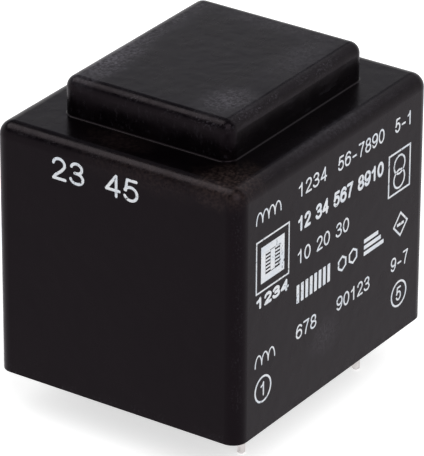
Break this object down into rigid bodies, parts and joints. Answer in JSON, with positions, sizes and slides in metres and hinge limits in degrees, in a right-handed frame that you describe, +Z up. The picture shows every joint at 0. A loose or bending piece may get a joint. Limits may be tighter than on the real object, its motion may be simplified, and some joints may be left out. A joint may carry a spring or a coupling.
{
  "type": "pcb mounted mains transformer, potted",
  "caption": "Black potted mains transformer for a circuit board: a stepped moulded case over an EI core and a two-chamber bobbin, with solder pins below.",
  "frame": {"origin": "Centre of the pin grid, on the face that sits on the circuit board.", "axes": "+X along the pin rows, from pin 1 to pin 5. +Z up, away from the board; the pins reach below zero. -Y is the primary side with pins 1 and 5, +Y the secondary side with pins 7 and 9."},
  "size_m": [0.0324, 0.0274, 0.0344],
  "materials": {
    "case_plastic": "satin black moulded polyamide with a fine grain",
    "resin": "dark cast potting resin, smooth",
    "bobbin_plastic": "natural moulded polyamide",
    "core_steel": "punched electrical steel with an oxide coat",
    "copper_wire": "enamelled copper wire, glossy",
    "tape_film": "yellow polyester film tape",
    "tinned_pin": "dull tinned wire",
    "solder": "satin solder",
    "marking_ink": "thin matt white printing ink on two walls of the case"
  },
  "bodies": {
    "root": {"case": "case_plastic", "potting_resin": "resin", "bobbin": "bobbin_plastic", "e_laminations_front": "core_steel", "e_laminations_rear": "core_steel", "i_laminations_front": "core_steel", "i_laminations_rear": "core_steel", "primary_winding": "copper_wire", "secondary_winding": "copper_wire", "primary_tape": "tape_film", "secondary_tape": "tape_film", "pin_1": "tinned_pin", "pin_5": "tinned_pin", "pin_7": "tinned_pin", "pin_9": "tinned_pin", "solder_joint_1": "solder", "solder_joint_5": "solder", "solder_joint_7": "solder", "solder_joint_9": "solder"}
  },
  "joints": []
}
